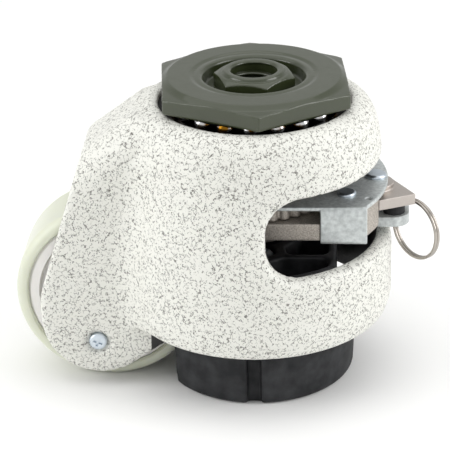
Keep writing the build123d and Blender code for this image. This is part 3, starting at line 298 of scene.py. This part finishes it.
def black_finish(name, colour, bloom, roughness, grain_mm, relief):
    """Black rubber or painted casting: matt, with a pale bloom and a grain at its own size."""
    material, tree, shader, place = new_finish(name, colour, Roughness=roughness, Specular_IOR_Level=0.25)
    cloud = add(tree, "ShaderNodeTexNoise", {"Vector": place, "Scale": per_mm(6.0), "Detail": 5.0})
    veil = add(tree, "ShaderNodeMapRange", {"Value": cloud.outputs["Fac"], "From Min": 0.35, "From Max": 0.75,
                                            "To Min": 0.0, "To Max": 0.12})
    colour_mix = add(tree, "ShaderNodeMix", {"Factor": veil.outputs["Result"], "A": opaque(colour),
                                             "B": opaque(bloom)}, data_type="RGBA")
    tree.links.new(colour_mix.outputs["Result"], shader.inputs["Base Color"])
    grain = add(tree, "ShaderNodeTexNoise", {"Vector": place, "Scale": per_mm(grain_mm), "Detail": 4.0})
    bump = add(tree, "ShaderNodeBump", {"Height": grain.outputs["Fac"], "Strength": relief,
                                        "Distance": 0.08 * MM})
    tree.links.new(bump.outputs["Normal"], shader.inputs["Normal"])
    return material


def zinc_finish(colours):
    """Zinc plated steel sheet: grey metal with blurred spangle and dull handling marks."""
    material, tree, shader, place = new_finish("zinc_plated_sheet", colours.zinc, Metallic=0.5,
                                               Roughness=0.42)
    spangle = add(tree, "ShaderNodeTexNoise", {"Vector": place, "Scale": per_mm(1.3), "Detail": 5.0})
    tone = add(tree, "ShaderNodeMapRange", {"Value": spangle.outputs["Fac"], "From Min": 0.3, "From Max": 0.7,
                                            "To Min": 0.0, "To Max": 1.0})
    colour = add(tree, "ShaderNodeMix", {"Factor": tone.outputs["Result"], "A": opaque(colours.spangle),
                                         "B": opaque(colours.zinc)}, data_type="RGBA")
    tree.links.new(colour.outputs["Result"], shader.inputs["Base Color"])
    dull = add(tree, "ShaderNodeMapRange", {"Value": spangle.outputs["Fac"], "From Min": 0.3, "From Max": 0.7,
                                            "To Min": 0.52, "To Max": 0.34})
    tree.links.new(dull.outputs["Result"], shader.inputs["Roughness"])
    bump = add(tree, "ShaderNodeBump", {"Height": spangle.outputs["Fac"], "Strength": 0.2,
                                        "Distance": 0.04 * MM})
    tree.links.new(bump.outputs["Normal"], shader.inputs["Normal"])
    return material


def sinter_finish(colours):
    """Pressed and sintered steel: fine open grain, greyish brown, dull."""
    material, tree, shader, place = new_finish("sintered_steel", colours.sinter, Metallic=0.6, Roughness=0.55)
    grain = add(tree, "ShaderNodeTexNoise", {"Vector": place, "Scale": per_mm(0.45), "Detail": 3.0})
    tone = add(tree, "ShaderNodeMapRange", {"Value": grain.outputs["Fac"], "From Min": 0.35,
                                            "From Max": 0.65})
    colour = add(tree, "ShaderNodeMix", {"Factor": tone.outputs["Result"], "A": opaque(colours.pores),
                                         "B": opaque(colours.sinter)}, data_type="RGBA")
    tree.links.new(colour.outputs["Result"], shader.inputs["Base Color"])
    bump = add(tree, "ShaderNodeBump", {"Height": grain.outputs["Fac"], "Strength": 0.45,
                                        "Distance": 0.1 * MM})
    tree.links.new(bump.outputs["Normal"], shader.inputs["Normal"])
    return material


def metal_finish(name, colour, roughness, streak_mm):
    """Bright metal: ground, drawn or turned, with faint streaks in its gloss."""
    material, tree, shader, place = new_finish(name, colour, Metallic=1.0, Roughness=roughness)
    streak = add(tree, "ShaderNodeTexNoise", {"Vector": place, "Scale": per_mm(streak_mm), "Detail": 4.0})
    gloss = add(tree, "ShaderNodeMapRange", {"Value": streak.outputs["Fac"], "To Min": roughness * 0.6,
                                             "To Max": roughness * 1.5})
    tree.links.new(gloss.outputs["Result"], shader.inputs["Roughness"])
    return material


def grease_finish(colours):
    """Greased balls: bright steel under patches of amber grease."""
    material, tree, shader, place = new_finish("greased_steel", colours.steel, Metallic=1.0, Roughness=0.16)
    smear = add(tree, "ShaderNodeTexNoise", {"Vector": place, "Scale": per_mm(3.5), "Detail": 3.0})
    film = add(tree, "ShaderNodeMapRange", {"Value": smear.outputs["Fac"], "From Min": 0.44,
                                            "From Max": 0.56})
    colour = add(tree, "ShaderNodeMix", {"Factor": film.outputs["Result"], "A": opaque(colours.steel),
                                         "B": opaque(colours.grease)}, data_type="RGBA")
    tree.links.new(colour.outputs["Result"], shader.inputs["Base Color"])
    return material


def all_finishes():
    """Every finish of the castor by its slot in the record."""
    colours = bpy.context.scene.castor_colours
    return {
        "olive_enamel": enamel_finish(colours),
        "speckled_coat": coat_finish(colours),
        "moulded_core": polymer_finish("moulded_nylon_core", colours.core, 0.5, 0.1, 0.3),
        "cast_tread": polymer_finish("cast_urethane_tread", colours.tread, 0.32, 0.45, 0.15),
        "black_casting": black_finish("black_painted_casting", colours.casting, colours.bloom, 0.5, 0.9, 0.5),
        "black_rubber": black_finish("moulded_black_rubber", colours.rubber, colours.bloom, 0.6, 0.5, 0.3),
        "zinc_sheet": zinc_finish(colours),
        "zinc_screw": metal_finish("bright_zinc_plate", colours.screw, 0.34, 1.5),
        "bright_steel": metal_finish("ground_steel", colours.steel, 0.2, 2.0),
        "sintered_steel": sinter_finish(colours),
        "nickel_wire": metal_finish("nickel_plated_wire", colours.nickel, 0.2, 1.0),
        "satin_nickel": metal_finish("satin_nickel_plate", colours.satin, 0.42, 0.5),
        "greased_steel": grease_finish(colours),
        "blackened_steel": metal_finish("black_oxide_steel", colours.black, 0.45, 0.8),
    }


SLOTS = {
    "olive_enamel": ["hex_plate", "kingpin"],
    "speckled_coat": ["housing"],
    "moulded_core": ["wheel_core"],
    "cast_tread": ["wheel_tread"],
    "black_casting": ["foot_body"],
    "black_rubber": ["foot_sole", "lug_bumper"],
    "zinc_sheet": ["lever_cover", "ring_lug", "sole_plate", "lock_nut", "axle_keeper_near",
                   "axle_keeper_far"],
    "zinc_screw": ["keeper_screws", "sole_screws", "flange_screws", "cover_rivets", "pivot_rivet"],
    "bright_steel": ["bearing_balls", "bearing_outer_near", "bearing_outer_far", "bearing_inner_near",
                     "bearing_inner_far", "axle", "axle_spacer_near", "axle_spacer_far", "thrust_washer"],
    "sintered_steel": ["lever_body", "ratchet_nut", "jack_spindle"],
    "satin_nickel": ["selector"],
    "nickel_wire": ["pull_ring"],
    "greased_steel": ["race_balls"],
    "blackened_steel": ["upper_race", "lower_race", "thrust_ring", "nut_clip", "lever_clip"],
}


# ---------------------------------------------------------------- shared making
def body_of(node):
    """Name of the CAD body that a node rides on."""
    return NODES[node]["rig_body"]


def slot_of(node):
    """Name of the record's slot that a node takes its finish from."""
    return next(slot for slot, nodes in SLOTS.items() if node in nodes)


def show(mesh, name):
    """Puts a mesh in the scene at the origin."""
    piece = bpy.data.objects.new(name, mesh)
    bpy.context.scene.collection.objects.link(piece)
    return piece


def settled(piece):
    """Plain mesh of a piece with its modifiers applied; the piece goes."""
    graph = bpy.context.evaluated_depsgraph_get()
    mesh = bpy.data.meshes.new_from_object(piece.evaluated_get(graph))
    bpy.data.objects.remove(piece)
    return mesh


def merged_copy(node):
    """A CAD piece's mesh as one closed surface."""
    mesh = NODES[node].data.copy()
    made = bmesh.new()
    made.from_mesh(mesh)
    bmesh.ops.remove_doubles(made, verts=made.verts, dist=0.002 * MM)
    made.to_mesh(mesh)
    made.free()
    return mesh


def worn_copy(node, grain, passes, shape=None):
    """Stands a copy with softly worn edges in place of a CAD piece."""
    rough = show(merged_copy(node), node + "_rough")
    if shape:
        shape(rough.data)
    remesh = rough.modifiers.new("Grain", "REMESH")
    remesh.mode, remesh.voxel_size, remesh.use_smooth_shade = "VOXEL", grain, True
    smooth = rough.modifiers.new("Wear", "SMOOTH")
    smooth.factor, smooth.iterations = 0.5, passes
    piece = show(settled(rough), node + "_worn")
    piece.data.shade_smooth()
    stand_in(piece, node)


def stand_in(piece, node):
    """Puts a piece on the body of the CAD node that it replaces, hides that node, and gives the piece the
    finish of the node's slot.
    """
    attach(piece, body_of(node))
    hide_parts(node)
    paint(piece, slot_of(node))


def paint(piece, slot):
    """Sets a piece's only finish."""
    piece.data.materials.clear()
    piece.data.materials.append(bpy.data.materials[bpy.context.scene["castor_finish_" + slot]])


def new_tree(name, sizes):
    """Geometry node tree with a named input for each size; returns it and its inputs."""
    tree = bpy.data.node_groups.new(name, "GeometryNodeTree")
    tree.interface.new_socket("Geometry", in_out="OUTPUT", socket_type="NodeSocketGeometry")
    for label, default in sizes.items():
        kind = {int: "NodeSocketInt", float: "NodeSocketFloat"}.get(type(default), "NodeSocketMaterial")
        socket = tree.interface.new_socket(label, in_out="INPUT", socket_type=kind)
        if default is not None:
            socket.default_value = default
    return tree, add(tree, "NodeGroupInput").outputs


def close_tree(tree, geometry, finish):
    """Ends a tree in real, finished geometry."""
    real = add(tree, "GeometryNodeRealizeInstances", {"Geometry": geometry})
    coloured = add(tree, "GeometryNodeSetMaterial", {"Geometry": real.outputs[0], "Material": finish})
    add(tree, "NodeGroupOutput", {"Geometry": coloured.outputs[0]})


def grown(name, tree, values):
    """Plain mesh piece from a geometry node tree and its values."""
    seed = show(bpy.data.meshes.new(name + "_seed"), name + "_seed")
    modifier = seed.modifiers.new("Tree", "NODES")
    modifier.node_group = tree
    for item in tree.interface.items_tree:
        if item.in_out == "INPUT" and item.name in values:
            modifier[item.identifier] = values[item.name]
    return show(settled(seed), name)


def helix_tree():
    """Right-hand screw thread: a trapezoid swept along a helix, its crest turned in or out."""
    tree, size = new_tree("screw_thread", {
        "Radius": 0.008, "Pitch": 0.002, "Length": 0.02, "Depth": 0.001, "Root": 0.0018, "Crest": 0.0005,
        "Facing": math.pi / 2, "Steps": 48, "Finish": None})
    turns = add(tree, "ShaderNodeMath", {0: size["Length"], 1: size["Pitch"]}, operation="DIVIDE")
    path = add(tree, "GeometryNodeCurveSpiral", {
        "Resolution": size["Steps"], "Rotations": turns.outputs[0], "Start Radius": size["Radius"],
        "End Radius": size["Radius"], "Height": size["Length"], "Reverse": True})
    upright = add(tree, "GeometryNodeSetCurveNormal", {"Curve": path.outputs[0]}, mode="Z_UP")
    tooth = add(tree, "GeometryNodeCurvePrimitiveQuadrilateral", {
        "Bottom Width": size["Root"], "Top Width": size["Crest"], "Height": size["Depth"], "Offset": 0.0},
        mode="TRAPEZOID")
    spin = add(tree, "ShaderNodeCombineXYZ", {"Z": size["Facing"]})
    turned = add(tree, "GeometryNodeTransform", {"Geometry": tooth.outputs[0], "Rotation": spin.outputs[0]})
    swept = add(tree, "GeometryNodeCurveToMesh", {
        "Curve": upright.outputs[0], "Profile Curve": turned.outputs[0], "Fill Caps": True})
    close_tree(tree, swept.outputs[0], size["Finish"])
    return tree


def cut_thread(name, node, tree, bottom, length, values):
    """Winds a screw thread on a CAD node's body, from a height."""
    finish = bpy.data.materials[bpy.context.scene["castor_finish_" + slot_of(node)]]
    piece = grown(name, tree, {"Length": length, "Finish": finish, **values})
    piece.data.transform(Matrix.Translation((0.0, 0.0, bottom)))
    outward(piece)
    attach(piece, body_of(node))
    paint(piece, slot_of(node))


def drawn_to(old, new, top):
    """Shape change that moves an upright cylinder's wall to a new radius, below a height."""
    def shape(mesh):
        for vertex in mesh.vertices:
            radius = math.hypot(vertex.co.x, vertex.co.y)
            if abs(radius - old) < 0.14 * old and vertex.co.z < top:
                vertex.co.x *= new / old
                vertex.co.y *= new / old
    return shape


def raised_rim(top, rise):
    """Shape change that lifts the two soft edges of the plate's well towards its top face."""
    def shape(mesh):
        for vertex in mesh.vertices:
            radius = math.hypot(vertex.co.x, vertex.co.y)
            drop = top - vertex.co.z
            if WELL_RIM[0] < radius < WELL_RIM[1] and RIM_BAND[0] < drop < RIM_BAND[1]:
                vertex.co.z += min(rise * (1.0 if drop < MM else LOWER_EDGE_GAIN), drop)
    return shape


def ring_tree():
    """Split ring: nearly two turns of wire that lie side by side and cross over once."""
    tree, size = new_tree("split_ring", {
        "Radius": 0.010, "Wire": 0.0006, "Turns": 1.9, "Steps": 96, "Finish": None})
    path = add(tree, "GeometryNodeCurveSpiral", {
        "Resolution": size["Steps"], "Rotations": size["Turns"], "Start Radius": size["Radius"],
        "End Radius": size["Radius"], "Height": 0.0})
    along = add(tree, "GeometryNodeSplineParameter")
    lane = add(tree, "ShaderNodeMapRange", {
        "Value": along.outputs["Factor"], "From Min": 0.44, "From Max": 0.56,
        "To Min": -0.96, "To Max": 0.96}, interpolation_type="SMOOTHSTEP")
    step = add(tree, "ShaderNodeMath", {0: lane.outputs["Result"], 1: size["Wire"]}, operation="MULTIPLY")
    offset = add(tree, "ShaderNodeCombineXYZ", {"Z": step.outputs[0]})
    coil = add(tree, "GeometryNodeSetPosition", {"Geometry": path.outputs[0], "Offset": offset.outputs[0]})
    wire = add(tree, "GeometryNodeCurvePrimitiveCircle", {"Resolution": 14, "Radius": size["Wire"]})
    swept = add(tree, "GeometryNodeCurveToMesh", {
        "Curve": coil.outputs[0], "Profile Curve": wire.outputs[0], "Fill Caps": True})
    close_tree(tree, swept.outputs[0], size["Finish"])
    return tree


def outward(piece):
    """Joins a swept piece's doubled points and turns its faces outwards."""
    made = bmesh.new()
    made.from_mesh(piece.data)
    bmesh.ops.remove_doubles(made, verts=made.verts, dist=0.001 * MM)
    bmesh.ops.recalc_face_normals(made, faces=made.faces)
    made.to_mesh(piece.data)
    made.free()


# ---------------------------------------------------------------- operators
class CASTOR_OT_finishes(bpy.types.Operator):
    """Make every finish and put it on the CAD pieces"""
    bl_idname = "castor.finishes"
    bl_label = "Finishes"

    def execute(self, context):
        for slot, material in all_finishes().items():
            context.scene["castor_finish_" + slot] = material.name
        for slot, nodes in SLOTS.items():
            for node in nodes:
                paint(NODES[node], slot)
        return {"FINISHED"}


class CASTOR_OT_housing(bpy.types.Operator):
    """Give the cast housing its thick, soft-edged skin of powder coat"""
    bl_idname = "castor.housing"
    bl_label = "Housing"

    def execute(self, context):
        worn_copy("housing", context.scene.castor_forms.casting_grain, 4)
        return {"FINISHED"}


class CASTOR_OT_top_plate(bpy.types.Operator):
    """Wear the edges of the top plate and kingpin, and tap the stem socket"""
    bl_idname = "castor.top_plate"
    bl_label = "Top plate"

    def execute(self, context):
        forms = context.scene.castor_forms
        plate_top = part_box("hex_plate")[1].z
        worn_copy("hex_plate", forms.plate_grain, 2, raised_rim(plate_top, forms.well_rise))
        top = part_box("kingpin")[1].z - COLLAR_HEIGHT
        worn_copy("kingpin", forms.small_grain, 1,
                  drawn_to(forms.stem_bore, forms.stem_bore + forms.stem_depth, top))
        bottom = top - forms.stem_lead - forms.stem_reach
        cut_thread("stem_thread", "kingpin", helix_tree(), bottom, forms.stem_reach, {
            "Radius": forms.stem_bore + forms.stem_depth / 2, "Pitch": forms.stem_pitch,
            "Depth": forms.stem_depth, "Root": forms.stem_pitch * 0.85, "Crest": forms.stem_pitch * 0.2,
            "Facing": math.pi / 2})
        return {"FINISHED"}


class CASTOR_OT_jack(bpy.types.Operator):
    """Cut the trapezoidal thread on the jack spindle"""
    bl_idname = "castor.jack"
    bl_label = "Jack spindle"

    def execute(self, context):
        forms = context.scene.castor_forms
        low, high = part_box("jack_spindle")
        neck = high.z - forms.jack_cup
        worn_copy("jack_spindle", forms.small_grain * 1.5, 1,
                  drawn_to(forms.jack_radius, forms.jack_radius - forms.jack_depth, neck))
        cut_thread("jack_thread", "jack_spindle", helix_tree(), low.z + MM, neck - low.z - 0.5 * MM, {
            "Radius": forms.jack_radius - forms.jack_depth / 2, "Pitch": forms.jack_pitch,
            "Depth": forms.jack_depth, "Root": forms.jack_pitch * 0.62, "Crest": forms.jack_pitch * 0.36,
            "Facing": -math.pi / 2})
        return {"FINISHED"}


class CASTOR_OT_lever(bpy.types.Operator):
    """Wear the edges of the lever's pieces and the selector"""
    bl_idname = "castor.lever"
    bl_label = "Lever"

    def execute(self, context):
        grain = context.scene.castor_forms.small_grain
        worn_copy("lever_body", grain * 1.3, 1)
        worn_copy("lever_cover", grain, 1)
        worn_copy("ring_lug", grain * 0.8, 1)
        worn_copy("selector", grain * 0.8, 1)
        worn_copy("ratchet_nut", grain * 1.2, 1)
        return {"FINISHED"}


class CASTOR_OT_split_ring(bpy.types.Operator):
    """Wind the split ring in the lug's eye"""
    bl_idname = "castor.split_ring"
    bl_label = "Split ring"

    def execute(self, context):
        forms = context.scene.castor_forms
        low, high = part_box("pull_ring")
        centre = (low + high) / 2
        material = bpy.data.materials[context.scene["castor_finish_nickel_wire"]]
        ring = grown("split_ring", ring_tree(), {
            "Radius": forms.ring_radius, "Wire": forms.ring_wire, "Turns": forms.ring_turns,
            "Finish": material})
        upright = Matrix.Rotation(forms.ring_plane, 4, "Z") @ Matrix.Rotation(math.pi / 2, 4, "X")
        spin = Matrix.Rotation(forms.ring_start, 4, "Z")
        ring.data.transform(Matrix.Translation(centre) @ upright @ spin)
        outward(ring)
        ring.data.shade_smooth()
        stand_in(ring, "pull_ring")
        return {"FINISHED"}


class CASTOR_OT_foot(bpy.types.Operator):
    """Wear the edges of the foot's casting and rubber sole"""
    bl_idname = "castor.foot"
    bl_label = "Foot"

    def execute(self, context):
        grain = context.scene.castor_forms.foot_grain
        worn_copy("foot_body", grain, 1)
        worn_copy("foot_sole", grain, 1)
        return {"FINISHED"}


class CASTOR_OT_studio(bpy.types.Operator):
    """Stand the castor on pale paper under soft boxes, and place the camera"""
    bl_idname = "castor.studio"
    bl_label = "Studio"

    def execute(self, context):
        studio = context.scene.castor_studio
        place_camera(context.scene, studio)
        lay_floor(studio)
        light_world(context.scene, studio)
        soft_box("top_box", (-0.05, 0.12, 0.85), 1.2, 1.0, studio.top)
        soft_box("left_box", (-0.75, -0.25, 0.35), 0.5, 0.6, studio.side)
        soft_box("right_box", (0.75, -0.15, 0.40), 0.5, 0.6, studio.side * 1.2)
        context.scene.view_settings.view_transform = "Standard"
        return {"FINISHED"}


def place_camera(scene, studio):
    """Camera on its sphere round the target, rolled about its line of sight."""
    data = bpy.data.cameras.new("view")
    data.lens, data.sensor_width = studio.lens, 36.0
    data.clip_start, data.clip_end = 0.05, 20.0
    camera = bpy.data.objects.new("view", data)
    scene.collection.objects.link(camera)
    back = Vector((math.sin(studio.azimuth) * math.cos(studio.elevation),
                   -math.cos(studio.azimuth) * math.cos(studio.elevation), math.sin(studio.elevation)))
    turn = (-back).to_track_quat("-Z", "Y").to_matrix() @ Matrix.Rotation(studio.roll, 3, "Z")
    camera.matrix_world = Matrix.Translation(Vector(studio.target) + back * studio.distance) @ turn.to_4x4()
    scene.camera = camera


def lay_floor(studio):
    """Wide sheet of matt paper."""
    made = bmesh.new()
    bmesh.ops.create_circle(made, cap_ends=True, segments=96, radius=3.0)
    mesh = bpy.data.meshes.new("floor")
    made.to_mesh(mesh)
    made.free()
    floor = show(mesh, "floor")
    material, tree, shader, place = new_finish("matt_paper", studio.floor, Roughness=0.95)
    tooth = add(tree, "ShaderNodeTexNoise", {"Vector": place, "Scale": per_mm(1.5), "Detail": 2.0})
    bump = add(tree, "ShaderNodeBump", {"Height": tooth.outputs["Fac"], "Strength": 0.05,
                                        "Distance": 0.05 * MM})
    tree.links.new(bump.outputs["Normal"], shader.inputs["Normal"])
    mesh.materials.append(material)


def light_world(scene, studio):
    """Fill light, brightest overhead. Shiny faces see a bright room in front and dimmer paper behind."""
    world = bpy.data.worlds.new("studio")
    world.use_nodes = True
    tree = world.node_tree
    tree.nodes.clear()
    way = add(tree, "ShaderNodeSeparateXYZ", {"Vector": add(tree, "ShaderNodeTexCoord").outputs["Generated"]})
    dome = add(tree, "ShaderNodeMapRange", {"Value": way.outputs["Z"], "From Min": -0.1, "From Max": 0.9,
                                            "To Min": studio.fill * 0.5, "To Max": studio.fill * 1.25})
    room = add(tree, "ShaderNodeMapRange", {"Value": way.outputs["Y"], "From Min": -0.9, "From Max": 0.1,
                                            "To Min": studio.room, "To Max": studio.paper})
    fill = add(tree, "ShaderNodeBackground", {"Color": (1.0, 1.0, 1.0, 1.0),
                                              "Strength": dome.outputs["Result"]})
    gleam = add(tree, "ShaderNodeBackground", {"Color": (1.0, 1.0, 1.0, 1.0),
                                               "Strength": room.outputs["Result"]})
    seen = add(tree, "ShaderNodeBackground", {"Color": opaque(studio.backdrop), "Strength": 1.0})
    ray = add(tree, "ShaderNodeLightPath")
    lit = add(tree, "ShaderNodeMixShader", {0: ray.outputs["Is Glossy Ray"], 1: fill.outputs[0],
                                            2: gleam.outputs[0]})
    both = add(tree, "ShaderNodeMixShader", {0: ray.outputs["Is Camera Ray"], 1: lit.outputs[0],
                                             2: seen.outputs[0]})
    add(tree, "ShaderNodeOutputWorld", {"Surface": both.outputs[0]})
    scene.world = world


def soft_box(name, place, width, height, power):
    """Rectangular soft box turned to the castor's middle."""
    data = bpy.data.lights.new(name, "AREA")
    data.shape, data.size, data.size_y, data.energy = "RECTANGLE", width, height, power
    lamp = bpy.data.objects.new(name, data)
    lamp.location = place
    lamp.rotation_euler = (Vector(AIM) - Vector(place)).to_track_quat("-Z", "Y").to_euler()
    bpy.context.scene.collection.objects.link(lamp)


OPERATORS = [CASTOR_OT_finishes, CASTOR_OT_housing, CASTOR_OT_top_plate, CASTOR_OT_jack,
             CASTOR_OT_lever, CASTOR_OT_split_ring, CASTOR_OT_foot, CASTOR_OT_studio]
GROUPS = {"castor_colours": CastorColours, "castor_forms": CastorForms, "castor_studio": CastorStudio}


class CASTOR_PT_panel(bpy.types.Panel):
    bl_idname = "CASTOR_PT_panel"
    bl_label = "Levelling castor"
    bl_space_type = "VIEW_3D"
    bl_region_type = "UI"
    bl_category = "Castor"

    def draw(self, context):
        for name in GROUPS:
            group = getattr(context.scene, name)
            box = self.layout.box()
            for setting in group.__annotations__:
                box.prop(group, setting)
        for operator in OPERATORS:
            self.layout.operator(operator.bl_idname)


def register():
    for group in GROUPS.values():
        bpy.utils.register_class(group)
    for operator in OPERATORS:
        bpy.utils.register_class(operator)
    bpy.utils.register_class(CASTOR_PT_panel)
    for name, group in GROUPS.items():
        setattr(bpy.types.Scene, name, bpy.props.PointerProperty(type=group))


def unregister():
    for name in GROUPS:
        delattr(bpy.types.Scene, name)
    bpy.utils.unregister_class(CASTOR_PT_panel)
    for operator in reversed(OPERATORS):
        bpy.utils.unregister_class(operator)
    for group in GROUPS.values():
        bpy.utils.unregister_class(group)


def main():
    register()
    bpy.ops.castor.finishes()
    bpy.ops.castor.housing()
    bpy.ops.castor.top_plate()
    bpy.ops.castor.jack()
    bpy.ops.castor.lever()
    bpy.ops.castor.split_ring()
    bpy.ops.castor.foot()
    bpy.ops.castor.studio()


if __name__ == "__main__":
    main()
